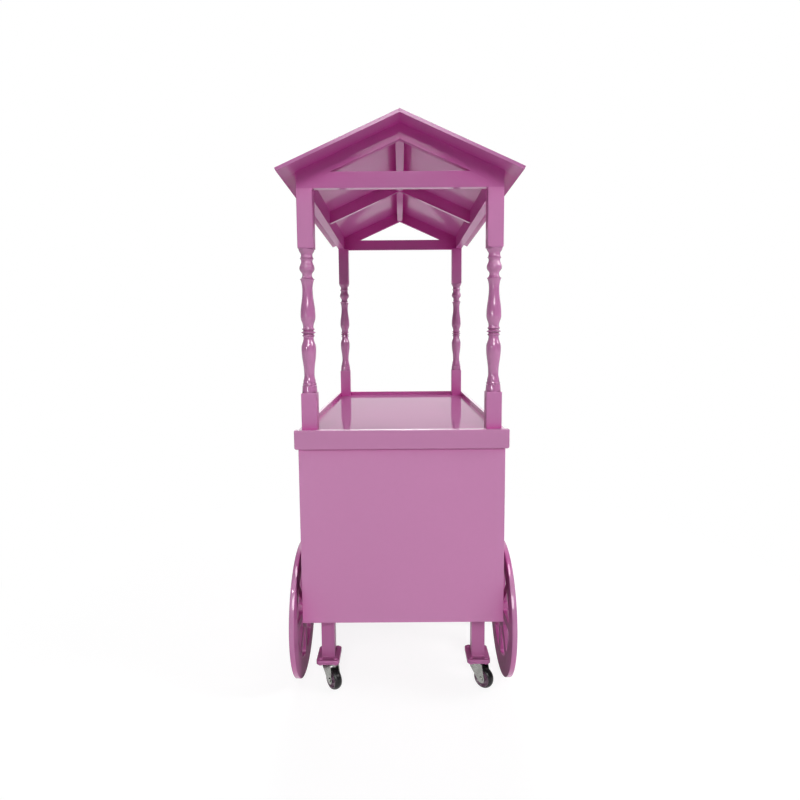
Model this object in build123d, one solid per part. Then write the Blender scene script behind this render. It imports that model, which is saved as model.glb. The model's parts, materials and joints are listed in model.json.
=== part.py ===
from build123d import *
from math import cos, radians, tan
import os

os.makedirs("parts", exist_ok=True)

# A market display cart. Millimetres, X across the cart, Y along it, Z up from the floor.
# The front end is at -Y, left is -X. Every fit below is tied to these sizes.

# Cabinet
BODY_LENGTH = 1200.0
BODY_WIDTH = 600.0
BODY_HEIGHT = 528.0
BODY_CLEARANCE = 235.0  # floor to the underside of the cabinet
PANEL_T = 15.0
BATTEN = 25.0  # corner battens, square in section
CLEAT_H = 45.0  # cleats under the table top

# Table with its raised rim
RIM_H = 56.0
RIM_T = 10.0
RIM_EASE = 2.0
FASCIA_T = 20.0  # front rim board
FASCIA_OVERHANG = 10.0  # front rim board beyond the cabinet
FASCIA_CORNER = 6.0  # its lower corners, and its upper ones
FASCIA_CORNER_TOP = 3.0
TABLE_T = 18.0
TRAY_DEPTH = 15.0  # rim top to table surface

# Posts: a square foot, a turned length and a square head
POST_SIDE = 45.0
POST_FOOT = 121.0
POST_TURNED = 412.0
POST_HEAD = 160.0
# Height above the foot and radius at each swell and hollow of the turning, from the foot up
TURNING = [
    (0.0, 22.0), (19.5, 21.0), (21.5, 19.2), (25.0, 20.3), (28.5, 18.2),  # collar, quirk and ring
    (51.0, 15.0), (128.0, 21.2), (161.5, 15.2),  # lower vase
    (166.2, 17.6), (170.0, 15.6), (173.9, 20.2), (178.0, 15.6), (182.0, 17.6), (188.0, 15.3),  # three rings
    (220.0, 21.4), (297.5, 14.9), (325.0, 21.2), (337.0, 13.6),  # upper vase, flared collar and waist
    (355.0, 21.6), (376.0, 16.2), (382.5, 20.0), (393.0, 16.3), (408.0, 22.4),  # ball, bead and shoulder
]
ARRISES = (325.0, 382.5)  # heights where the curves flare out to a sharp edge
TURNING_SIDE = 45.0  # post side and turned length that the list above is drawn for
TURNING_LENGTH = 412.0
SWELL = 0.45  # share of each curve spent leaving a swell, a hollow or an edge

# Roof
PITCH = 24.0  # degrees
RAFTER_DEPTH = 38.5  # square to the slope
TRUSS_T = 20.0  # thickness of rafters and ties
TIE_H = 44.0
TIE_HEEL = 1.5  # blunt end left at each foot of a tie
EAVE_BEAM_T = 28.0
RIDGE_T = 24.0
ROOF_T = 9.0
EAVE_OVERHANG = 43.0
GABLE_OVERHANG = 77.0

# Tall wheels on stub axles
AXLE_BEAM_H = 40.0
AXLE_BEAM_W = 40.0
WHEEL_SETBACK = 152.0  # wheel centre behind the end of the cabinet
WHEEL_GAP = 16.0  # cabinet side to wheel
WHEEL_T = 15.0
WHEEL_LIFT = 2.5  # wheel above the floor: the castors carry the cart
WHEEL_RIM = 62.0
WHEEL_EDGE = 2.0
SPOKES = 8
SPOKE_W = 26.0
SPOKE_CORNER = 9.0
WHEEL_CENTRE_R = 64.0
HUB_R = 44.0
HUB_T = 10.0
HUB_EDGE = 4.0
HUB_WALL = 5.0  # hub sleeve round the axle
AXLE_R = 6.0
AXLE_GRIP = 85.0  # length of the axle bolt in its beam
SPACER_WALL = 9.0
WASHER_WALL = 8.0
WASHER_T = 2.5
BOLT_HEAD_R = 11.0
BOLT_HEAD_H = 8.0

# Legs, each a square tube with a plate at both ends
LEG_SIDE = 40.0
LEG_WALL = 2.5
LEG_IN_X = 69.0  # leg centre from the cabinet's side
LEG_IN_Y = 65.0  # leg centre from the cabinet's end
FLANGE_SIDE = 80.0
FLANGE_T = 4.0
PAD_X = 70.0
PAD_Y = 90.0
PAD_T = 8.0
PAD_CORNER = 10.0

# Swivel castors
CASTOR_H = 95.0  # floor to the top of the castor's plate
CASTOR_PLATE_T = 4.0
CASTOR_R = 32.5
CASTOR_W = 24.0
CASTOR_TRAIL = 26.0
CASTOR_AXLE_R = 4.0
RACE_R = 22.0
RACE_H = 5.0
CROWN_T = 3.0
FORK_T = 2.5
FORK_BACK = 15.0  # crown behind the swivel line, and ahead of it
FORK_AHEAD = 29.0
FORK_SKIRT = 20.0  # straight upper part of the cheeks
FORK_END_R = 13.0
KING_R = 6.0
RIVET_H = 3.5
PAD_BOLT_R = 4.0
PAD_BOLT_HEAD_R = 7.0
PAD_BOLT_HEAD_H = 4.5
PAD_NUT_H = 6.0
PAD_BOLT_EDGE = 12.0  # bolt centre from the plate's edge
# Degrees from +X to the way each castor trails, as it was left standing
CASTOR_TURN = {"front_left": -53.0, "front_right": -44.0, "rear_left": -55.0, "rear_right": -75.0}

# Clearances
RUN_FIT = 0.06  # radial, shaft turning in a hole
FIXED_FIT = 0.05  # radial, shaft fixed in a hole
END_GAP = 0.3  # between faces that turn on each other

ENDS = {"front": -1, "rear": 1}
SIDES = {"left": -1, "right": 1}

# Levels and faces that several pieces share
end_y = BODY_LENGTH / 2
side_x = BODY_WIDTH / 2
inner_y = end_y - PANEL_T
inner_x = side_x - PANEL_T
body_top = BODY_CLEARANCE + BODY_HEIGHT
floor_top = BODY_CLEARANCE + PANEL_T
rim_top = body_top + RIM_H
tray_x = side_x - RIM_T
rear_in = end_y - RIM_T
fascia_in = end_y + FASCIA_OVERHANG - FASCIA_T
tray_y = min(rear_in, fascia_in)
table_z = rim_top - TRAY_DEPTH
cleat_top = table_z - TABLE_T
cleat_x = min(inner_x, tray_x)
cleat_y = min(inner_y, tray_y)
post_top = table_z + POST_FOOT + POST_TURNED + POST_HEAD
post_x = tray_x - POST_SIDE / 2
post_y = tray_y - POST_SIDE / 2
slope = tan(radians(PITCH))
truss_y = tray_y - TRUSS_T  # inner face of each gable truss
axle_z = BODY_CLEARANCE - AXLE_BEAM_H / 2
wheel_r = axle_z - WHEEL_LIFT
wheel_y = end_y - WHEEL_SETBACK
wheel_in = side_x + WHEEL_GAP
wheel_out = wheel_in + WHEEL_T
leg_x = side_x - LEG_IN_X
leg_y = end_y - LEG_IN_Y
pad_top = CASTOR_H + PAD_T
bolt_x = PAD_X / 2 - PAD_BOLT_EDGE
bolt_y = PAD_Y / 2 - PAD_BOLT_EDGE


def rafter_under(x):
    """Height of the rafters' underside at a distance x from the ridge."""
    return post_top + TIE_HEEL + (tray_x - x) * slope


def roof_under(x):
    return rafter_under(x) + RAFTER_DEPTH / cos(radians(PITCH))


def roof_over(x):
    return roof_under(x) + ROOF_T / cos(radians(PITCH))


def board(x, y, z):
    """Straight board from its low and high values on each axis."""
    centre = Pos((x[0] + x[1]) / 2, (y[0] + y[1]) / 2, (z[0] + z[1]) / 2)
    return centre * Box(x[1] - x[0], y[1] - y[0], z[1] - z[0])


def run_along_y(outline, y0, y1):
    """Board with an outline of (x, z) points, run from y0 to y1."""
    face = make_face(Polyline(*outline, close=True))
    return Pos(0, y1, 0) * extrude(Plane.XZ * face, y1 - y0)


def rod(radius, x0, x1):
    """Round rod along X."""
    return Pos((x0 + x1) / 2, 0, 0) * Rot(0, 90, 0) * Cylinder(radius, x1 - x0)


def upright(radius, z0, z1):
    """Round rod along Z."""
    return Pos(0, 0, (z0 + z1) / 2) * Cylinder(radius, z1 - z0)


def to_side(shape, sx):
    return shape if sx > 0 else mirror(shape, about=Plane.YZ)


def to_end(shape, sy):
    return shape if sy > 0 else mirror(shape, about=Plane.XZ)


def save(node, *solids):
    shape = solids[0] if len(solids) == 1 else Compound(children=list(solids))
    export_step(shape, f"parts/{node}.step")


# Cabinet: end panels over the side panels, with the floor inside them
def end_panel():
    return board((-side_x, side_x), (inner_y, end_y), (BODY_CLEARANCE, body_top))


def side_panel():
    return board((inner_x, side_x), (-inner_y, inner_y), (BODY_CLEARANCE, body_top))


def corner_batten():
    levels = (floor_top, cleat_top - CLEAT_H)
    return board((inner_x - BATTEN, inner_x), (inner_y - BATTEN, inner_y), levels)


def long_cleat():
    return board((cleat_x - BATTEN, cleat_x), (-cleat_y, cleat_y), (cleat_top - CLEAT_H, cleat_top))


def short_cleat():
    reach = cleat_x - BATTEN
    return board((-reach, reach), (cleat_y - BATTEN, cleat_y), (cleat_top - CLEAT_H, cleat_top))


# Table rim: a thick fascia across the front, and thin boards flush with the cabinet on the other sides
def front_rim():
    outline = Pos(0, body_top + RIM_H / 2) * Rectangle(2 * (side_x + FASCIA_OVERHANG), RIM_H)
    outline = fillet(outline.vertices().group_by(Axis.Y)[0], FASCIA_CORNER)
    outline = fillet(outline.vertices().group_by(Axis.Y)[-1], FASCIA_CORNER_TOP)
    blank = Pos(0, -fascia_in, 0) * extrude(Plane.XZ * outline, FASCIA_T)
    return fillet(blank.faces().sort_by(Axis.Y)[0].edges(), RIM_EASE)


def side_rim():
    blank = board((tray_x, side_x), (-fascia_in, end_y), (body_top, rim_top))
    upper = blank.faces().sort_by(Axis.Z)[-1].edges()
    return fillet([upper.sort_by(Axis.X)[-1], upper.sort_by(Axis.Y)[-1]], RIM_EASE)


def rear_rim():
    blank = board((-tray_x, tray_x), (rear_in, end_y), (body_top, rim_top))
    upper = blank.faces().sort_by(Axis.Z)[-1].edges()
    return fillet(upper.sort_by(Axis.Y)[-1], RIM_EASE)


# Posts: square stock, turned between foot and head
def post():
    height = post_top - table_z
    clear = 0.72 * POST_SIDE  # just outside the corners of the square
    rise = POST_TURNED / TURNING_LENGTH
    spread = POST_SIDE / TURNING_SIDE
    marks = [(r * spread, POST_FOOT + h * rise) for h, r in TURNING]
    sharp = [h in ARRISES for h, r in TURNING]
    neck_top = POST_FOOT + POST_TURNED
    path = [Polyline((0, height), (0, 0), (clear, 0), (clear, POST_FOOT), marks[0])]
    for k in range(len(marks) - 1):
        (r0, z0), (r1, z1) = marks[k:k + 2]
        lift = SWELL * (z1 - z0)
        flare = SWELL * (r1 - r0)
        leave = (r0 + flare, z0) if sharp[k] else (r0, z0 + lift)
        reach = (r1 - flare, z1) if sharp[k + 1] else (r1, z1 - lift)
        path.append(Bezier((r0, z0), leave, reach, (r1, z1)))
    path.append(Polyline(marks[-1], (clear, neck_top), (clear, height), (0, height)))
    profile = make_face([edge for curve in path for edge in curve.edges()])
    turned = revolve(Plane.XZ * profile, Axis.Z)
    return Pos(0, 0, height / 2) * Box(POST_SIDE, POST_SIDE, height) & turned


# Roof frame
def tie_beam():
    foot = post_top + TIE_HEEL
    top = post_top + TIE_H
    shoulder = tray_x - (TIE_H - TIE_HEEL) / slope
    right = [(tray_x, post_top), (tray_x, foot), (shoulder, top)]
    left = [(-x, z) for x, z in reversed(right)]
    return run_along_y(right + left, truss_y, tray_y)


def rafter(x0, x1, y0, y1):
    ends = [(x0, rafter_under(x0)), (x1, rafter_under(x1)), (x1, roof_under(x1)), (x0, roof_under(x0))]
    return run_along_y(ends, y0, y1)


def eave_beam():
    x0 = tray_x - EAVE_BEAM_T
    outline = [(x0, post_top), (tray_x, post_top), (tray_x, roof_under(tray_x)), (x0, roof_under(x0))]
    return run_along_y(outline, -truss_y, truss_y)


def ridge_beam():
    """One of two lengths, from the middle rafters to a gable."""
    half = RIDGE_T / 2
    right = [(half, rafter_under(0)), (half, roof_under(half)), (0, roof_under(0))]
    left = [(-half, roof_under(half)), (-half, rafter_under(0))]
    return run_along_y(right + left, TRUSS_T / 2, truss_y)


def roof_panel():
    tip = tray_x + EAVE_OVERHANG
    heel = tip - ROOF_T * slope * cos(radians(PITCH))
    outline = [(0, roof_under(0)), (heel, roof_under(heel)), (tip, roof_over(tip)), (0, roof_over(0))]
    reach = tray_y + GABLE_OVERHANG
    return run_along_y(outline, -reach, reach)


# Tall wheels: flat spoked discs on flanged hubs, turning on axle bolts
sleeve_r = AXLE_R + RUN_FIT + HUB_WALL
hub_face = wheel_out + HUB_T
washer_in = hub_face + END_GAP
head_in = washer_in + WASHER_T


def tall_wheel():
    ring_r = wheel_r - WHEEL_RIM
    mid = (ring_r + WHEEL_CENTRE_R) / 2
    spoke = Rectangle(2 * mid, SPOKE_W)
    windows = Circle(ring_r) - Circle(WHEEL_CENTRE_R)
    windows -= [Rot(0, 0, 360 * k / SPOKES) * Pos(mid, 0) * spoke for k in range(SPOKES)]
    windows = fillet(windows.vertices(), SPOKE_CORNER)
    disc = extrude(Circle(wheel_r), WHEEL_T)
    disc = fillet(disc.edges(), WHEEL_EDGE)
    disc -= extrude(windows, WHEEL_T)
    disc -= extrude(Circle(sleeve_r + FIXED_FIT), WHEEL_T)
    return Pos(wheel_in, wheel_y, axle_z) * Rot(0, 90, 0) * disc


def hub():
    boss = fillet(rod(HUB_R, wheel_out, hub_face).edges().group_by(Axis.X)[-1], HUB_EDGE)
    solid = boss + rod(sleeve_r, wheel_in, wheel_out) - rod(AXLE_R + RUN_FIT, wheel_in, hub_face)
    return Pos(0, wheel_y, axle_z) * solid


def axle_bolt():
    head = Pos(head_in, 0, 0) * Rot(0, 90, 0) * extrude(RegularPolygon(BOLT_HEAD_R, 6), BOLT_HEAD_H)
    return Pos(0, wheel_y, axle_z) * (rod(AXLE_R, side_x - AXLE_GRIP, head_in) + head)


def axle_spacer():
    bore = AXLE_R + FIXED_FIT
    reach = wheel_in - END_GAP
    return Pos(0, wheel_y, axle_z) * (rod(bore + SPACER_WALL, side_x, reach) - rod(bore, side_x, reach))


def axle_washer():
    bore = AXLE_R + FIXED_FIT
    ring = rod(bore + WASHER_WALL, washer_in, head_in) - rod(bore, washer_in, head_in)
    return Pos(0, wheel_y, axle_z) * ring


def axle_beam():
    low = BODY_CLEARANCE - AXLE_BEAM_H
    half = AXLE_BEAM_W / 2
    beam = board((-side_x, side_x), (wheel_y - half, wheel_y + half), (low, BODY_CLEARANCE))
    for sx in SIDES.values():
        ends = sorted((sx * (side_x - AXLE_GRIP), sx * side_x))
        beam -= Pos(0, wheel_y, axle_z) * rod(AXLE_R + FIXED_FIT, *ends)
    return beam


# Legs and castor plates, drawn about the leg's own centre line
def at_bolts(shape):
    return [Pos(x, y, 0) * shape for x in (-bolt_x, bolt_x) for y in (-bolt_y, bolt_y)]


def foot_plate(z0, z1):
    plate = Pos(0, 0, z0) * extrude(RectangleRounded(PAD_X, PAD_Y, PAD_CORNER), z1 - z0)
    return plate - at_bolts(upright(PAD_BOLT_R + FIXED_FIT, z0, z1))


def leg():
    inside = LEG_SIDE - 2 * LEG_WALL
    flange_z = BODY_CLEARANCE - FLANGE_T
    tube = Pos(0, 0, pad_top) * extrude(Rectangle(LEG_SIDE, LEG_SIDE), flange_z - pad_top)
    flange = Pos(0, 0, flange_z) * extrude(Rectangle(FLANGE_SIDE, FLANGE_SIDE), FLANGE_T)
    hollow = Pos(0, 0, pad_top) * extrude(Rectangle(inside, inside), BODY_CLEARANCE - pad_top)
    return foot_plate(CASTOR_H, pad_top) + tube + flange - hollow


plate_z = CASTOR_H - CASTOR_PLATE_T
race_z = plate_z - RACE_H
fork_top = race_z - END_GAP
crown_z = fork_top - RACE_H
crown_low = crown_z - CROWN_T
hub_half = CASTOR_W / 2 + 1.5
fork_in = hub_half + 0.4  # side play of the wheel in its fork


def castor_plate():
    """Top plate with its ball race and the king pin riveted under the fork."""
    rivet_top = crown_low - END_GAP
    pin = upright(KING_R, rivet_top - RIVET_H, race_z) + upright(1.7 * KING_R, rivet_top - RIVET_H, rivet_top)
    return foot_plate(plate_z, CASTOR_H) + upright(RACE_R, race_z, plate_z) + pin


def pad_bolt():
    head = upright(PAD_BOLT_HEAD_R, pad_top, pad_top + PAD_BOLT_HEAD_H)
    head = fillet(head.edges().group_by(Axis.Z)[-1], 0.6 * PAD_BOLT_HEAD_H)
    nut = Pos(0, 0, plate_z - PAD_NUT_H) * extrude(RegularPolygon(PAD_BOLT_HEAD_R, 6), PAD_NUT_H)
    return upright(PAD_BOLT_R, plate_z, pad_top) + head + nut


# Castors, drawn about the swivel line with the wheel trailing along +X
def castor_fork():
    low = Pos(CASTOR_TRAIL, CASTOR_R) * Circle(FORK_END_R)
    skirt = Rectangle(FORK_BACK + FORK_AHEAD, FORK_SKIRT)
    high = Pos((FORK_AHEAD - FORK_BACK) / 2, crown_z - FORK_SKIRT / 2) * skirt
    outline = make_hull([*low.edges(), *high.edges()])
    width = 2 * (fork_in + FORK_T)
    cheeks = Pos(0, width / 2, 0) * extrude(Plane.XZ * outline, width)
    reach = CASTOR_TRAIL + CASTOR_R + FORK_BACK + FORK_AHEAD
    gap = board((-reach, reach), (-fork_in, fork_in), (0, crown_low))
    axle_hole = Pos(CASTOR_TRAIL, 0, CASTOR_R) * Rot(0, 0, 90) * rod(CASTOR_AXLE_R + FIXED_FIT, -width, width)
    fork = cheeks - gap + upright(RACE_R, crown_z, fork_top)
    return fork - axle_hole - upright(KING_R + RUN_FIT, crown_low - 1, fork_top + 1)


def castor_axle():
    """Plain axle with a formed head outside each cheek of the fork."""
    reach = fork_in + FORK_T
    cap = 2.5
    pin = rod(CASTOR_AXLE_R, -reach, reach)
    heads = rod(1.7 * CASTOR_AXLE_R, reach, reach + cap) + rod(1.7 * CASTOR_AXLE_R, -reach - cap, -reach)
    return Pos(CASTOR_TRAIL, 0, CASTOR_R) * Rot(0, 0, 90) * (pin + heads)


def castor_wheel():
    """Moulded wheel: hub, thin web, rim and a crowned tread, turned about X."""
    half = CASTOR_W / 2
    bore = CASTOR_AXLE_R + RUN_FIT
    nave = bore + 7.0
    web = half / 2
    shoulder = 0.86 * CASTOR_R
    right = [(hub_half, bore), (hub_half, nave), (web, nave + 1.5), (web, 0.66 * CASTOR_R)]
    right += [(half - 1.0, 0.72 * CASTOR_R), (half, 0.8 * CASTOR_R), (half, shoulder)]
    left = [(-x, r) for x, r in right]
    tread = ThreePointArc(right[-1], (0, CASTOR_R), left[-1])
    sides = Polyline(*reversed(left)), Line(left[0], right[0]), Polyline(*right)
    profile = make_face([edge for curve in (*sides, tread) for edge in curve.edges()])
    return Pos(CASTOR_TRAIL, 0, CASTOR_R) * Rot(0, 0, 90) * revolve(profile, Axis.X)


save("floor_panel", board((-inner_x, inner_x), (-inner_y, inner_y), (BODY_CLEARANCE, floor_top)))
save("table_top", board((-tray_x, tray_x), (-fascia_in, rear_in), (cleat_top, table_z)))
save("rim_board_front", front_rim())
save("rim_board_rear", rear_rim())
save("ridge_beam", *[to_end(ridge_beam(), sy) for sy in ENDS.values()])

for end, sy in ENDS.items():
    save(f"end_panel_{end}", to_end(end_panel(), sy))
    save(f"tie_beam_{end}", to_end(tie_beam(), sy))
    save(f"axle_beam_{end}", to_end(axle_beam(), sy))

for side, sx in SIDES.items():
    save(f"side_panel_{side}", to_side(side_panel(), sx))
    save(f"rim_board_{side}", to_side(side_rim(), sx))
    save(f"eave_beam_{side}", to_side(eave_beam(), sx))
    save(f"roof_panel_{side}", to_side(roof_panel(), sx))
    middle = rafter(0, tray_x - EAVE_BEAM_T, -TRUSS_T / 2, TRUSS_T / 2)
    save(f"rafter_middle_{side}", to_side(middle, sx))

groups = {name: [] for name in ("corner_battens", "axle_bolts", "axle_spacers", "axle_washers")}
groups.update(castor_plates=[], castor_bolts=[])
for end, sy in ENDS.items():
    for side, sx in SIDES.items():
        corner = f"{end}_{side}"
        leg_line = Pos(sx * leg_x, sy * leg_y, 0)
        swivel = leg_line * Rot(0, 0, CASTOR_TURN[corner])
        save(f"post_{corner}", Pos(sx * post_x, sy * post_y, table_z) * post())
        save(f"rafter_{corner}", to_end(to_side(rafter(0, tray_x, truss_y, tray_y), sx), sy))
        save(f"leg_{corner}", leg_line * leg())
        save(f"wheel_{corner}", to_end(to_side(tall_wheel(), sx), sy))
        save(f"hub_{corner}", to_end(to_side(hub(), sx), sy))
        save(f"castor_fork_{corner}", swivel * castor_fork())
        save(f"castor_axle_{corner}", swivel * castor_axle())
        save(f"castor_wheel_{corner}", swivel * castor_wheel())
        groups["corner_battens"].append(to_end(to_side(corner_batten(), sx), sy))
        groups["axle_bolts"].append(to_end(to_side(axle_bolt(), sx), sy))
        groups["axle_spacers"].append(to_end(to_side(axle_spacer(), sx), sy))
        groups["axle_washers"].append(to_end(to_side(axle_washer(), sx), sy))
        groups["castor_plates"].append(leg_line * castor_plate())
        groups["castor_bolts"] += [leg_line * bolt for bolt in at_bolts(pad_bolt())]

groups["table_cleats"] = [to_side(long_cleat(), sx) for sx in SIDES.values()]
groups["table_cleats"] += [to_end(short_cleat(), sy) for sy in ENDS.values()]
for node, solids in groups.items():
    save(node, *solids)
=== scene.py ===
import json
from math import asin, atan, cos, pi, radians, sin, sqrt

import bmesh
import bpy
from mathutils import Matrix, Vector

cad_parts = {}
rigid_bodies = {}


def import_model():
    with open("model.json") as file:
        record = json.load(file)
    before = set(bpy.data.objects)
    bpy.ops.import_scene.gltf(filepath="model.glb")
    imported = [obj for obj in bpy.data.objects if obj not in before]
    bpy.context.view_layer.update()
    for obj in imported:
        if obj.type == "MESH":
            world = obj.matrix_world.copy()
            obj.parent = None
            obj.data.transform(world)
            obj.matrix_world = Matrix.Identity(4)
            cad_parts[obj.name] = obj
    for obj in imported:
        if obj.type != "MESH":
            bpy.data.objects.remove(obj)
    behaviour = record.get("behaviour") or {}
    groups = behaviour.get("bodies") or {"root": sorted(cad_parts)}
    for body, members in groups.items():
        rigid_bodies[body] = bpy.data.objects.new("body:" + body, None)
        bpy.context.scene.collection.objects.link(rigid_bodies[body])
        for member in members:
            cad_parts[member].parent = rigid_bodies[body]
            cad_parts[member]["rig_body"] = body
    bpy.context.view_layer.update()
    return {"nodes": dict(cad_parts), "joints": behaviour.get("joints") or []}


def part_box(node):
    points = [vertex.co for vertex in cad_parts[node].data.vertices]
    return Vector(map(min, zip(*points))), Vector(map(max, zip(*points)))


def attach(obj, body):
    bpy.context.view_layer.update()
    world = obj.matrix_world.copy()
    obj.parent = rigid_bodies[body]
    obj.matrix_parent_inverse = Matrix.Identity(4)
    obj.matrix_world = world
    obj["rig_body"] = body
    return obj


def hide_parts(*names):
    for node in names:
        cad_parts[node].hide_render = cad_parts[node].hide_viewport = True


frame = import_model()
nodes = frame["nodes"]
joints = {j["name"]: j for j in frame["joints"]}

MM = 0.001
CORNERS = [f"{end}_{side}" for end in ("front", "rear") for side in ("left", "right")]

# Paint, in linear colour: the open faces, then the painted shade used in sheltered corners, in turned
# grooves, and on wheels and legs
PINK = (0.51, 0.172, 0.385)
SHADE_PINK = (0.55, 0.045, 0.33)
GROOVE_SHADE_PINK = (0.17, 0.015, 0.10)
DUSKY_SHADE_PINK = (0.41, 0.115, 0.285)
# Level that the painted highlight on eased edges lightens towards
EDGE_LIGHT_LEVEL = 0.9

# Direction of a board's grain, as a stretch of the noise along each axis
ACROSS, ALONG, UP = (0.12, 1, 1), (1, 0.12, 1), (1, 1, 0.12)

# Turning of the posts: height above the foot and radius, millimetres
TURNING = [
    (0.0, 22.0), (19.5, 21.0), (21.5, 19.2), (25.0, 20.3), (28.5, 18.2),
    (51.0, 15.0), (128.0, 21.2), (160.0, 14.6),
    (164.8, 17.8), (169.2, 14.8), (173.9, 20.2), (178.6, 14.8), (183.0, 17.8), (188.5, 15.0),
    (220.0, 21.4), (297.5, 14.9), (325.0, 21.2), (337.0, 13.6),
    (355.0, 21.6), (376.0, 16.2), (382.5, 20.0), (393.0, 16.3), (408.0, 22.4),
]
ARRISES = (325.0, 382.5)  # heights where the curves flare out to a sharp edge
TURNED_LENGTH = 412.0
SWELL = 0.45  # share of each curve spent leaving a swell, a hollow or an edge
CURVE_STEP = 2.5
LEAST_STEPS = 6

# Square ends of the posts, millimetres
POST_FOOT = 121.0
POST_HALF = 22.5
POST_EASE = 1.6
FOOT_EASE = [(1.4, 0.0), (0.9, 0.12), (0.4, 0.5), (0.0, 1.4)]  # depth below the foot's top, cut from its side
PAST_CORNERS = 0.72  # radius that clears the square's corners, as a share of its side
SHOULDER_STEPS = 5
FACE_POINTS = 11  # round half a flat
FACE_STEP = 4.0  # degrees
CORNER_STEPS = 3  # round half a corner

# Tall wheels, millimetres
WHEEL_RIM = 62.0
WHEEL_CENTRE = 64.0
WHEEL_BORE = 11.0
WHEEL_EASE = 2.0
SPOKES = 8
SPOKE_HALF = 13.0
SPOKE_CORNER = 9.0
RIM_STEPS, BORE_STEPS = 160, 48
OUTER_STEPS, INNER_STEPS, FILLET_STEPS = 14, 8, 6
EDGE_ON = 0.8  # faces that point less than this along the axle take the tread's finish

# Castor wheels, millimetres and shares of the radius
CASTOR_HALF = 12.0
CASTOR_BORE = 4.06
NAVE_PROUD = 1.5
NAVE_FACE, NAVE_R, NAVE_EASE = 10.2, 11.06, 0.8
DISH_R, DISH_LIP = 12.56, 3.0
BEAD_ROUND = [(2.2, -1.0), (1.0, 0.0), (0.3, 0.8), (0.0, 2.6)]  # in from the side, out from the bead
BEAD, SHOULDER = 0.72, 0.86
CROWN_STEPS = 9
CASTOR_STEPS = 64

# The photograph's camera
PHOTO_SIDE = 800.0  # pixels
FOCAL = 585.376  # pixels
SENSOR = 36.0
CAMERA_PLACE = (-0.0032, -2.26992, 1.084)
TILT, YAW, ROLL = 0.1071, -0.0007, -0.00705

# Lights that only add highlights to the gloss: place, aim and width in metres, power in watts
GLINTS = {
    "lamp_0": ((-4.8, -2.4, 5.1), (0, -0.5, 1.2), 0.4, 55.0),
    "lamp_1": ((-1.6, -5.0, 5.6), (0, -0.5, 1.2), 0.4, 55.0),
    "lamp_2": ((2.2, -4.8, 5.5), (0, -0.5, 1.2), 0.4, 55.0),
    "lamp_3": ((4.9, -2.3, 5.1), (0, -0.5, 1.2), 0.4, 55.0),
    "window": ((-3.0, -5.6, 1.4), (0, -0.5, 1.1), 0.4, 45.0),
    "overhead": ((0.0, -1.0, 6.0), (0, -0.6, 0.3), 2.4, 220.0),
}
# Lights for the whole cart
LAMPS = {
    "key": ((0.0, -16.0, 9.5), (0, 0, 0.8), 7.0, 1650.0),
    "right": ((5.8, -1.7, 4.8), (0, 0, 0.8), 2.5, 210.0),
    "back": ((0.0, 7.0, 5.0), (0, 0, 0.8), 3.0, 420.0),
}
WORLD_LIGHT = 0.05
WORLD_FRONT = 0.22  # brightness of the world in front of the cart, as the gloss mirrors it

# Floor, metres
FLOOR_HALF = 14.0
FLOOR_DROP = 0.0006
FADE_FROM, FADE_TO = 0.8, 1.8
SHADOW_GREY = (0.2, 0.2, 0.2, 1)
NEAR_GLOW = 0.87


# Materials

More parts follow.
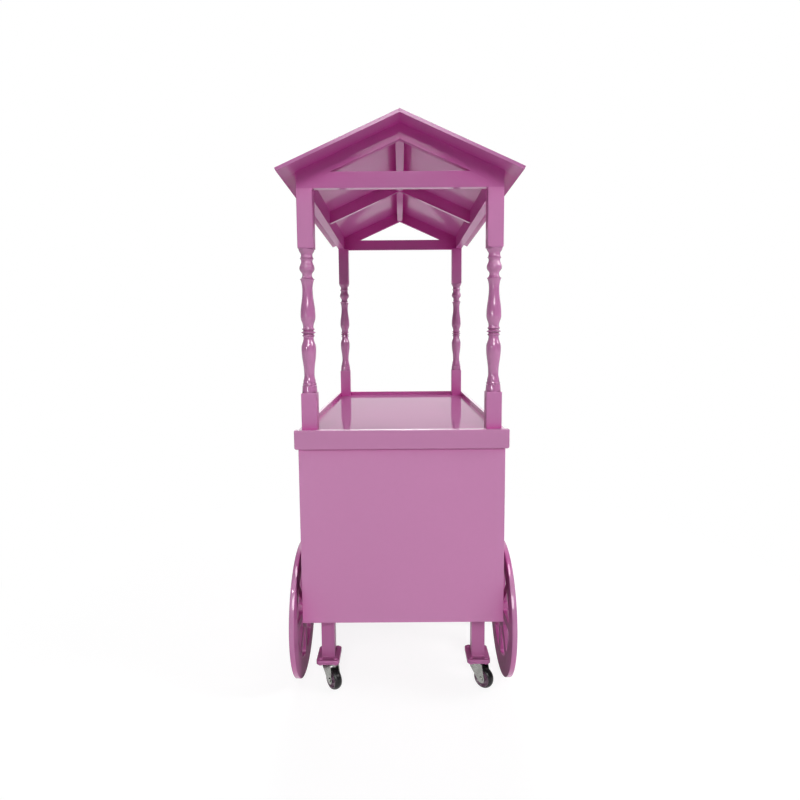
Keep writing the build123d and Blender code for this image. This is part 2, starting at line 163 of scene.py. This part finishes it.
class Tree:
    """The nodes of a material or a world, with short calls to add and join them."""

    def __init__(self, owner):
        owner.use_nodes = True
        self.owner = owner
        self.nodes = owner.node_tree.nodes
        self.links = owner.node_tree.links
        self.shader = self.nodes.get("Principled BSDF")

    def add(self, kind, **values):
        node = self.nodes.new("ShaderNode" + kind)
        for key, value in values.items():
            setattr(node, key, value)
        return node

    def join(self, out, into):
        self.links.new(out, into)

    def set(self, **values):
        """Constants on the shader's own sockets, with _ for a space in their names."""
        for key, value in values.items():
            self.shader.inputs[key.replace("_", " ")].default_value = value

    def drive(self, **outputs):
        """Outputs joined to the shader's sockets, named as in set."""
        for key, out in outputs.items():
            self.join(out, self.shader.inputs[key.replace("_", " ")])

    def place(self, stretch=(1, 1, 1)):
        """Object coordinates in metres, stretched along each axis."""
        coord = self.add("TexCoord")
        mapping = self.add("Mapping")
        mapping.inputs["Scale"].default_value = stretch
        self.join(coord.outputs["Object"], mapping.inputs["Vector"])
        return mapping.outputs["Vector"]

    def noise(self, where, scale, detail=3.0, rough=0.55):
        node = self.add("TexNoise")
        node.inputs["Scale"].default_value = scale
        node.inputs["Detail"].default_value = detail
        node.inputs["Roughness"].default_value = rough
        self.join(where, node.inputs["Vector"])
        return node.outputs["Fac"]

    def remap(self, value, low, high, start=0.3, stop=0.7):
        node = self.add("MapRange")
        for key, number in (("From Min", start), ("From Max", stop), ("To Min", low), ("To Max", high)):
            node.inputs[key].default_value = number
        self.join(value, node.inputs["Value"])
        return node.outputs["Result"]

    def mix(self, factor, first, second):
        node = self.add("Mix", data_type="RGBA")
        self.join(factor, node.inputs["Factor"])
        for socket, colour in ((node.inputs[6], first), (node.inputs[7], second)):
            if hasattr(colour, "is_output"):
                self.join(colour, socket)
            else:
                socket.default_value = (*colour, 1.0)
        return node.outputs[2]

    def math(self, operation, first, second):
        node = self.add("Math", operation=operation)
        self.join(first, node.inputs[0])
        if hasattr(second, "is_output"):
            self.join(second, node.inputs[1])
        else:
            node.inputs[1].default_value = second
        return node.outputs[0]

    def bump(self, height, strength, depth):
        node = self.add("Bump")
        node.inputs["Strength"].default_value = strength
        node.inputs["Distance"].default_value = depth
        self.join(height, node.inputs["Height"])
        return node.outputs["Normal"]

    def edges(self, radius):
        """1 along eased edges and 0 on flat faces."""
        soft = self.add("Bevel", samples=4)
        soft.inputs["Radius"].default_value = radius
        geometry = self.add("NewGeometry")
        dot = self.add("VectorMath", operation="DOT_PRODUCT")
        self.join(soft.outputs["Normal"], dot.inputs[0])
        self.join(geometry.outputs["Normal"], dot.inputs[1])
        return self.remap(dot.outputs["Value"], low=1.0, high=0.0, start=0.90, stop=0.995)

    def shade_mask(self, reach):
        """Mask for painted shade, from ambient occlusion: 0 on open faces, rising towards 1 in grooves and
        corners.
        """
        node = self.add("AmbientOcclusion", samples=8)
        node.inputs["Distance"].default_value = reach
        return self.remap(node.outputs["AO"], low=1.0, high=0.0, start=0.4, stop=0.97)

    def rays(self):
        """Two masks: rays straight from the camera, and rays mirrored or through glass."""
        path = self.add("LightPath")
        mirrored = self.math("MAXIMUM", path.outputs["Is Glossy Ray"], path.outputs["Is Transmission Ray"])
        return path.outputs["Is Camera Ray"], mirrored


def shade(colour, factor):
    return tuple(min(1.0, c * factor) for c in colour)


def gloss_paint(name, grain, gloss=0.2, blur=0.04, sheen=0.0, edge_highlight=0.0, painted_lighting=1.0, coat=1.5,
                shade_colour=SHADE_PINK, reach=0.25):
    """Sprayed gloss paint: faint drift of tone, orange peel, painted shade deepening the colour in corners,
    and a painted highlight on the eased edges.
    """
    t = Tree(bpy.data.materials.new(name))
    where = t.place()
    broad = t.remap(t.noise(where, scale=2.4, detail=2.0), low=0.0, high=1.0)
    fine = t.remap(t.noise(where, scale=70.0, detail=4.0), low=0.0, high=1.0)
    # Painted light and shade: this factor makes a lighter or darker copy of the same paint
    tone = t.mix(broad, shade(PINK, 0.98 * painted_lighting), shade(PINK, 1.02 * painted_lighting))
    tone = t.mix(t.math("MULTIPLY", fine, 0.2), tone, shade(PINK, 0.94 * painted_lighting))
    # Painted highlight: the eased edges are lightened towards a pale pink
    if edge_highlight:
        edge_lit = t.math("MULTIPLY", t.edges(radius=0.0018), edge_highlight)
        tone = t.mix(edge_lit, tone, tuple(c + 0.35 * (EDGE_LIGHT_LEVEL - c) for c in PINK))
    # Painted shade: the colour deepens towards a darker pink in corners, grooves and sheltered places
    tone = t.mix(t.math("MULTIPLY", t.shade_mask(reach), 0.9), tone, shade_colour)
    brushed = t.noise(t.place(grain), scale=26.0)
    peel = t.noise(where, scale=300.0, detail=2.0)
    t.drive(
        Base_Color=tone,
        Normal=t.bump(brushed, strength=0.04, depth=0.0004),
        Coat_Roughness=t.remap(t.noise(where, scale=9.0), low=blur, high=blur + 0.04),
        Coat_Normal=t.bump(peel, strength=0.012, depth=0.0002),
    )
    t.set(Specular_IOR_Level=sheen, Roughness=0.45, Coat_Weight=gloss, Coat_IOR=coat)
    return t.owner


def bright_plate(name):
    """Bright zinc plate: slightly clouded, with fine drawing marks."""
    t = Tree(bpy.data.materials.new(name))
    where = t.place()
    cloud = t.remap(t.noise(where, scale=90.0, detail=4.0), low=0.0, high=1.0)
    drawn = t.noise(t.place((1, 1, 14)), scale=500.0, detail=2.0)
    t.drive(
        Base_Color=t.mix(cloud, (0.28, 0.285, 0.27), (0.38, 0.385, 0.365)),
        Roughness=t.remap(t.noise(where, scale=160.0), low=0.18, high=0.32),
        Normal=t.bump(drawn, strength=0.05, depth=0.0002),
    )
    t.set(Metallic=1.0)
    return t.owner


def plain_steel(name):
    """Plain zinc-plated steel, clouded and brushed one way."""
    t = Tree(bpy.data.materials.new(name))
    cloud = t.remap(t.noise(t.place(), scale=120.0, detail=4.0), low=0.0, high=1.0)
    brushed = t.noise(t.place((9, 1, 1)), scale=240.0)
    t.drive(
        Base_Color=t.mix(cloud, (0.42, 0.42, 0.43), (0.60, 0.595, 0.585)),
        Roughness=t.remap(brushed, low=0.26, high=0.46),
        Normal=t.bump(brushed, strength=0.08, depth=0.0002),
    )
    t.set(Metallic=1.0)
    return t.owner


def tyre_rubber(name):
    """Black castor rubber with a little floor dust."""
    t = Tree(bpy.data.materials.new(name))
    where = t.place()
    dust = t.remap(t.noise(where, scale=110.0, detail=4.0), low=0.0, high=1.0, start=0.45, stop=0.75)
    t.drive(
        Base_Color=t.mix(dust, (0.008, 0.008, 0.009), (0.03, 0.027, 0.029)),
        Roughness=t.remap(t.noise(where, scale=60.0), low=0.26, high=0.40),
        Normal=t.bump(t.noise(where, scale=700.0), strength=0.12, depth=0.0003),
    )
    t.set(Specular_IOR_Level=0.3)
    return t.owner


def castor_core(name):
    """Moulded core of a castor wheel, tinted mauve: partly its own colour, partly a painted reflection of the
    pink cart.
    """
    t = Tree(bpy.data.materials.new(name))
    where = t.place()
    cloud = t.remap(t.noise(where, scale=140.0), low=0.0, high=1.0)
    t.drive(
        Base_Color=t.mix(cloud, (0.14, 0.075, 0.12), (0.21, 0.12, 0.18)),
        Roughness=t.remap(t.noise(where, scale=90.0), low=0.22, high=0.36),
        Normal=t.bump(t.noise(where, scale=900.0, detail=2.0), strength=0.08, depth=0.0002),
    )
    return t.owner


# Finishes made lighter or darker than the plain pink, or with their own shade colour, paint light and shade
# into copies of one paint
paint_across = gloss_paint("paint_across", ACROSS, gloss=0.9)
paint_gable = gloss_paint("paint_gable", ACROSS, gloss=0.15)
paint_along = gloss_paint("paint_along", ALONG, gloss=0.5)
paint_roof = gloss_paint("paint_roof", ALONG, gloss=0.5, blur=0.12)
paint_up = gloss_paint("paint_up", UP, sheen=0.35, painted_lighting=1.05, reach=0.5)
paint_panel = gloss_paint("paint_panel", ACROSS, sheen=0.9, painted_lighting=1.1)
paint_rim = gloss_paint("paint_rim", ALONG, gloss=0.8, sheen=0.5, edge_highlight=0.3)
paint_turned = gloss_paint("paint_turned", UP, gloss=0.8, blur=0.1, coat=1.8, shade_colour=GROOVE_SHADE_PINK, reach=0.009)
paint_table = gloss_paint("paint_table", ALONG, gloss=0.6)
paint_wheel = gloss_paint("paint_wheel", UP, gloss=0.1, painted_lighting=0.92, shade_colour=DUSKY_SHADE_PINK)
paint_tread = gloss_paint("paint_tread", UP, gloss=0.8, sheen=0.5)
paint_steel = gloss_paint("paint_steel", UP, sheen=0.2, shade_colour=DUSKY_SHADE_PINK)
zinc = bright_plate("bright_plate")
steel = plain_steel("plain_steel")
rubber = tyre_rubber("tyre_rubber")
core = castor_core("castor_core")


# Meshes

def new_piece(name, mesh, materials, node, sharp):
    """Finish a mesh as a piece that stands for one CAD node and rides on its body."""
    for material in materials:
        mesh.materials.append(material)
    mesh.polygons.foreach_set("use_smooth", [True] * len(mesh.polygons))
    mesh.set_sharp_from_angle(angle=radians(sharp))
    piece = bpy.data.objects.new(name, mesh)
    bpy.context.scene.collection.objects.link(piece)
    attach(piece, nodes[node]["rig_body"])
    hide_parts(node)
    return piece


def ring_mesh(name, rings, closed=False):
    """Skin over rings of points, capped at both ends or closed on itself."""
    count = len(rings[0])
    verts = [p for ring in rings for p in ring]
    faces = []
    pairs = list(zip(range(len(rings)), range(1, len(rings))))
    if closed:
        pairs.append((len(rings) - 1, 0))
    for a, b in pairs:
        for k in range(count):
            n = (k + 1) % count
            faces.append((a * count + k, a * count + n, b * count + n, b * count + k))
    if not closed:
        faces.append(tuple(reversed(range(count))))
        faces.append(tuple(range((len(rings) - 1) * count, len(rings) * count)))
    mesh = bpy.data.meshes.new(name)
    mesh.from_pydata(verts, [], faces)
    return mesh


def square_reach(angle, half, ease):
    """Distance from the middle of a square with eased corners to its outline."""
    a = angle % (pi / 2)
    a = min(a, pi / 2 - a)
    flat = half - ease
    if a <= atan(flat / half):
        return half / cos(a)
    b = flat * (cos(a) + sin(a))
    return b + sqrt(b * b - 2 * flat * flat + ease * ease)


def post_angles():
    """Directions of the points round a post, closer together at the square's corners."""
    turn = atan((POST_HALF - POST_EASE) / POST_HALF)
    octant = [radians(FACE_STEP * k) for k in range(FACE_POINTS)]
    octant += [turn + (pi / 4 - turn) * k / CORNER_STEPS for k in range(CORNER_STEPS + 1)]
    quarter = octant + [pi / 2 - a for a in reversed(octant[1:-1])]
    return [q * pi / 2 + a for q in range(4) for a in quarter]


def turned_outline():
    """Points (radius, height) up the turned length: swells and hollows that flare out to the arrises."""
    points = [(TURNING[0][1], TURNING[0][0])]
    for (z0, r0), (z1, r1) in zip(TURNING, TURNING[1:]):
        lift, flare = SWELL * (z1 - z0), SWELL * (r1 - r0)
        leave = (r0 + flare, z0) if z0 in ARRISES else (r0, z0 + lift)
        reach = (r1 - flare, z1) if z1 in ARRISES else (r1, z1 - lift)
        steps = max(LEAST_STEPS, round((z1 - z0) / CURVE_STEP))
        for k in range(1, steps + 1):
            t = k / steps
            weights = ((1 - t) ** 3, 3 * t * (1 - t) ** 2, 3 * t * t * (1 - t), t ** 3)
            marks = ((r0, z0), leave, reach, (r1, z1))
            points.append(tuple(sum(w * mark[i] for w, mark in zip(weights, marks)) for i in (0, 1)))
    return points


def make_post(corner):
    """Post with square ends and a turned length, as one skin with two finishes."""
    node = f"post_{corner}"
    low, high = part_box(node)
    x, y = (low.x + high.x) / 2, (low.y + high.y) / 2
    height = (high.z - low.z) / MM
    side = 2 * POST_HALF
    angles = post_angles()
    reach = [square_reach(a, POST_HALF, POST_EASE) for a in angles]
    levels = [(0.0, side, 0.0), (POST_FOOT / 2, side, 0.0)]
    levels += [(POST_FOOT - down, side, cut) for down, cut in FOOT_EASE]
    levels += [(POST_FOOT + z, r, 0.0) for r, z in turned_outline()]
    last_z, last_r = TURNING[-1]
    clear = PAST_CORNERS * side
    for k in range(1, SHOULDER_STEPS + 1):
        share = k / SHOULDER_STEPS
        z, r = last_z + (TURNED_LENGTH - last_z) * share, last_r + (clear - last_r) * share
        levels.append((POST_FOOT + z, r, 0.0))
    levels.append((height, side, 0.0))
    first, last = 1 + len(FOOT_EASE), len(levels) - 2
    rings = []
    for z, r, cut in levels:
        ring = [(min(r, s - cut), a) for s, a in zip(reach, angles)]
        rings.append([(x + MM * s * cos(a), y + MM * s * sin(a), low.z + MM * z) for s, a in ring])
    piece = new_piece(f"turned_{node}", ring_mesh(node, rings), [paint_up, paint_turned], node, sharp=30.0)
    for face in piece.data.polygons:
        if first <= face.index // len(angles) < last:
            face.material_index = 1


def arc(centre, radius, start, stop, steps):
    return [
        (centre[0] + radius * cos(start + (stop - start) * k / steps),
         centre[1] + radius * sin(start + (stop - start) * k / steps))
        for k in range(steps + 1)
    ]


def window(ring_r, spoke):
    """Outline of the opening after one spoke, with rounded corners."""
    pitch = 2 * pi / SPOKES
    inset = SPOKE_HALF + SPOKE_CORNER
    far, near = ring_r - SPOKE_CORNER, WHEEL_CENTRE + SPOKE_CORNER
    skew_far, skew_near = asin(inset / far), asin(inset / near)
    a, b = spoke * pitch, (spoke + 1) * pitch
    corners = [(far, a + skew_far), (far, b - skew_far), (near, b - skew_near), (near, a + skew_near)]
    c = [(r * cos(t), r * sin(t)) for r, t in corners]
    points = arc(c[0], SPOKE_CORNER, a - pi / 2, a + skew_far, FILLET_STEPS)
    points += arc((0, 0), ring_r, a + skew_far, b - skew_far, OUTER_STEPS)[1:-1]
    points += arc(c[1], SPOKE_CORNER, b - skew_far, b + pi / 2, FILLET_STEPS)
    points += arc(c[2], SPOKE_CORNER, b + pi / 2, b - skew_near + pi, FILLET_STEPS)
    points += arc((0, 0), WHEEL_CENTRE, b - skew_near, a + skew_near, INNER_STEPS)[1:-1]
    points += arc(c[3], SPOKE_CORNER, a + skew_near + pi, a + 3 * pi / 2, FILLET_STEPS)
    return points


def cut_plate(name, outlines, thick, ease):
    """Flat plate with holes and eased edges, drawn in its own plane. Millimetres in, mesh in metres out."""
    drawing = bpy.data.curves.new(name, "CURVE")
    drawing.dimensions = "2D"
    drawing.fill_mode = "BOTH"
    drawing.extrude = MM * (thick / 2 - ease)
    drawing.bevel_depth = MM * ease
    drawing.bevel_resolution = 2
    drawing.offset = -MM * ease
    for outline in outlines:
        spline = drawing.splines.new("POLY")
        spline.points.add(len(outline) - 1)
        for point, (u, v) in zip(spline.points, outline):
            point.co = (MM * u, MM * v, 0, 1)
        spline.use_cyclic_u = True
    holder = bpy.data.objects.new(name, drawing)
    bpy.context.scene.collection.objects.link(holder)
    bpy.context.view_layer.update()
    mesh = bpy.data.meshes.new_from_object(holder.evaluated_get(bpy.context.evaluated_depsgraph_get()))
    bpy.data.objects.remove(holder)
    bpy.data.curves.remove(drawing)
    work = bmesh.new()
    work.from_mesh(mesh)
    bmesh.ops.remove_doubles(work, verts=work.verts, dist=1e-6)
    bmesh.ops.recalc_face_normals(work, faces=work.faces)
    work.to_mesh(mesh)
    work.free()
    return mesh


def make_wheel(corner):
    """Tall spoked wheel cut from one plate, with a glossier tread."""
    node = f"wheel_{corner}"
    low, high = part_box(node)
    radius = (high.z - low.z) / 2 / MM
    outlines = [arc((0, 0), radius, 0, 2 * pi, RIM_STEPS)[:-1]]
    outlines += [window(radius - WHEEL_RIM, k) for k in range(SPOKES)]
    outlines.append(arc((0, 0), WHEEL_BORE, 0, 2 * pi, BORE_STEPS)[:-1])
    mesh = cut_plate(node, outlines, (high.x - low.x) / MM, WHEEL_EASE)
    middle = (low + high) / 2
    mesh.transform(Matrix.Translation(middle) @ Matrix.Rotation(pi / 2, 4, "Y"))
    piece = new_piece(f"cut_{node}", mesh, [paint_wheel, paint_tread], node, sharp=28.0)
    for face in piece.data.polygons:
        if abs(face.normal.x) < EDGE_ON:
            face.material_index = 1


def make_castor_wheel(corner):
    """Crowned rubber tyre on a moulded core, as one turned mesh with two finishes."""
    node = f"castor_wheel_{corner}"
    roll = joints[f"castor_roll_{corner}"]
    axis = Vector(roll["axis"])
    side = axis.cross(Vector((0, 0, 1)))
    stand = Matrix((axis, side, axis.cross(side))).transposed().to_4x4()
    stand = Matrix.Translation(Vector(roll["pos_m"])) @ stand
    low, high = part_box(node)
    radius = (high.z - low.z) / 2 / MM
    half = CASTOR_HALF
    nave = half + NAVE_PROUD
    bead, shoulder = BEAD * radius, SHOULDER * radius
    crown = radius - shoulder
    sweep = (half * half + crown * crown) / (2 * crown)
    # Half the profile: the nave's end, the dish of the core, the bead, then the tyre's crown
    profile = [(-nave, CASTOR_BORE), (-nave, NAVE_FACE), (-nave + NAVE_EASE, NAVE_R)]
    profile += [(-half / 2, DISH_R), (-half / 2, bead - DISH_LIP)]
    profile += [(-half + inset, bead + out) for inset, out in BEAD_ROUND]
    core_rings = len(profile)
    for k in range(CROWN_STEPS):
        x = -half * (1 - k / CROWN_STEPS)
        profile.append((x, radius - sweep + sqrt(sweep * sweep - x * x)))
    profile += [(0.0, radius)] + [(-x, r) for x, r in reversed(profile)]
    turns = [2 * pi * k / CASTOR_STEPS for k in range(CASTOR_STEPS)]
    rings = [[(MM * x, MM * r * cos(a), MM * r * sin(a)) for a in turns] for x, r in profile]
    mesh = ring_mesh(node, rings, closed=True)
    mesh.transform(stand)
    piece = new_piece(f"tyred_{node}", mesh, [rubber, core], node, sharp=30.0)
    last = len(rings) - 1
    for face in piece.data.polygons:
        ring = face.index // CASTOR_STEPS
        if ring < core_rings - 1 or ring > last - core_rings:
            face.material_index = 1


for corner in CORNERS:
    make_post(corner)
    make_wheel(corner)
    make_castor_wheel(corner)


# Finishes and eased edges on the pieces that keep their CAD shape

# Finish and width of the eased edges in millimetres, by the longest name that a node starts with
FINISH = {
    "floor_panel": (paint_along, 1.0),
    "end_panel": (paint_panel, 1.2),
    "side_panel": (paint_panel, 1.2),
    "corner_battens": (paint_up, 1.0),
    "table_cleats": (paint_along, 1.0),
    "table_top": (paint_table, 1.0),
    "rim_board": (paint_rim, 1.5),
    "tie_beam": (paint_across, 0.2),
    "tie_beam_rear": (paint_gable, 0.2),
    "rafter": (paint_gable, 0.2),
    "rafter_middle": (paint_across, 0.2),
    "eave_beam": (paint_roof, 0.2),
    "ridge_beam": (paint_roof, 0.2),
    "roof_panel": (paint_roof, 0.2),
    "axle_beam": (paint_across, 1.5),
    "hub": (paint_up, 0.8),
    "leg": (paint_steel, 1.2),
    "castor_plates": (paint_steel, 0.6),
    "castor_bolts": (paint_steel, 0.5),
    "castor_fork": (zinc, 0.6),
    "castor_axle": (zinc, 0.5),
    "axle_bolts": (steel, 0.6),
    "axle_spacers": (steel, 0.6),
    "axle_washers": (steel, 0.5),
}


def finish_of(name):
    while name not in FINISH:
        name = name.rsplit("_", 1)[0]
    return FINISH[name]


def ease_edges(node, width):
    weld = node.modifiers.new("weld", "WELD")
    weld.merge_threshold = 1e-5
    bevel = node.modifiers.new("ease", "BEVEL")
    bevel.width = width
    bevel.segments = 3
    bevel.limit_method = "ANGLE"
    bevel.angle_limit = radians(35)
    bevel.harden_normals = True


for name, node in nodes.items():
    if node.hide_render:
        continue
    material, width = finish_of(name)
    for place in node.material_slots:
        place.material = material
    if not node.material_slots:
        node.data.materials.append(material)
    ease_edges(node, MM * width)


# Floor, light and camera

def pale_floor():
    """Pale floor that looks white further off and keeps the cart's shadow close by."""
    mesh = bpy.data.meshes.new("floor")
    far = FLOOR_HALF
    mesh.from_pydata([(-far, -far, 0), (far, -far, 0), (far, far, 0), (-far, far, 0)], [], [(0, 1, 2, 3)])
    floor = bpy.data.objects.new("floor", mesh)
    floor.location.z = -FLOOR_DROP
    bpy.context.scene.collection.objects.link(floor)
    t = Tree(bpy.data.materials.new("pale_floor"))
    where = t.place()
    t.drive(Base_Color=t.mix(t.noise(where, scale=3.0), (0.86, 0.86, 0.86), (0.90, 0.90, 0.90)))
    t.set(Roughness=0.8, Specular_IOR_Level=0.0)
    shadow = t.add("BsdfDiffuse")
    shadow.inputs["Color"].default_value = SHADOW_GREY
    glow = t.add("Emission")
    glow.inputs["Strength"].default_value = NEAR_GLOW
    near = t.add("AddShader")
    t.join(shadow.outputs[0], near.inputs[0])
    t.join(glow.outputs[0], near.inputs[1])
    white = t.add("Emission")
    reach = t.add("VectorMath", operation="LENGTH")
    t.join(where, reach.inputs[0])
    fade = t.add("MixShader")
    t.join(t.remap(reach.outputs["Value"], low=0.0, high=1.0, start=FADE_FROM, stop=FADE_TO), fade.inputs[0])
    t.join(near.outputs[0], fade.inputs[1])
    t.join(white.outputs[0], fade.inputs[2])
    pick = t.add("MixShader")
    t.join(t.math("MAXIMUM", *t.rays()), pick.inputs[0])
    t.join(t.shader.outputs[0], pick.inputs[1])
    t.join(fade.outputs[0], pick.inputs[2])
    t.join(pick.outputs[0], t.nodes["Material Output"].inputs["Surface"])
    mesh.materials.append(t.owner)


def studio_world():
    """White to the eye. Mirrored, it is white behind the cart and dimmer in front. As light it stays low."""
    world = bpy.data.worlds.new("studio")
    bpy.context.scene.world = world
    t = Tree(world)
    back = t.nodes["Background"]
    back.inputs["Color"].default_value = (1, 1, 1, 1)
    way = t.add("SeparateXYZ")
    t.join(t.add("TexCoord").outputs["Generated"], way.inputs[0])
    direct, mirrored = t.rays()
    behind = t.remap(way.outputs["Y"], low=WORLD_FRONT, high=1.0, start=0.1, stop=0.8)
    seen = t.math("MAXIMUM", direct, t.math("MULTIPLY", behind, mirrored))
    t.join(t.math("MAXIMUM", seen, WORLD_LIGHT), back.inputs["Strength"])


def softbox(name, place, aim, width, power, glints):
    light = bpy.data.lights.new(name, "AREA")
    light.shape = "DISK"
    light.size = width
    light.energy = power
    holder = bpy.data.objects.new(name, light)
    holder.location = place
    holder.rotation_euler = (Vector(aim) - Vector(place)).to_track_quat("-Z", "Y").to_euler()
    holder.visible_diffuse = not glints
    bpy.context.scene.collection.objects.link(holder)


def photo_camera():
    """The photograph's own view: a wide lens a little above the table, looking slightly down."""
    lens = bpy.data.cameras.new("camera")
    lens.sensor_width = SENSOR
    lens.lens = SENSOR * FOCAL / PHOTO_SIDE
    lens.clip_start, lens.clip_end = 0.05, 60.0
    camera = bpy.data.objects.new("camera", lens)
    aim = Matrix.Rotation(-YAW, 4, "Z") @ Matrix.Rotation(pi / 2 - TILT, 4, "X")
    camera.matrix_world = Matrix.Translation(CAMERA_PLACE) @ aim @ Matrix.Rotation(ROLL, 4, "Z")
    bpy.context.scene.collection.objects.link(camera)
    bpy.context.scene.camera = camera


pale_floor()
studio_world()
for name, lamp in GLINTS.items():
    softbox(name, *lamp, glints=True)
for name, lamp in LAMPS.items():
    softbox(name, *lamp, glints=False)
photo_camera()

bpy.context.scene.view_settings.view_transform = "Standard"
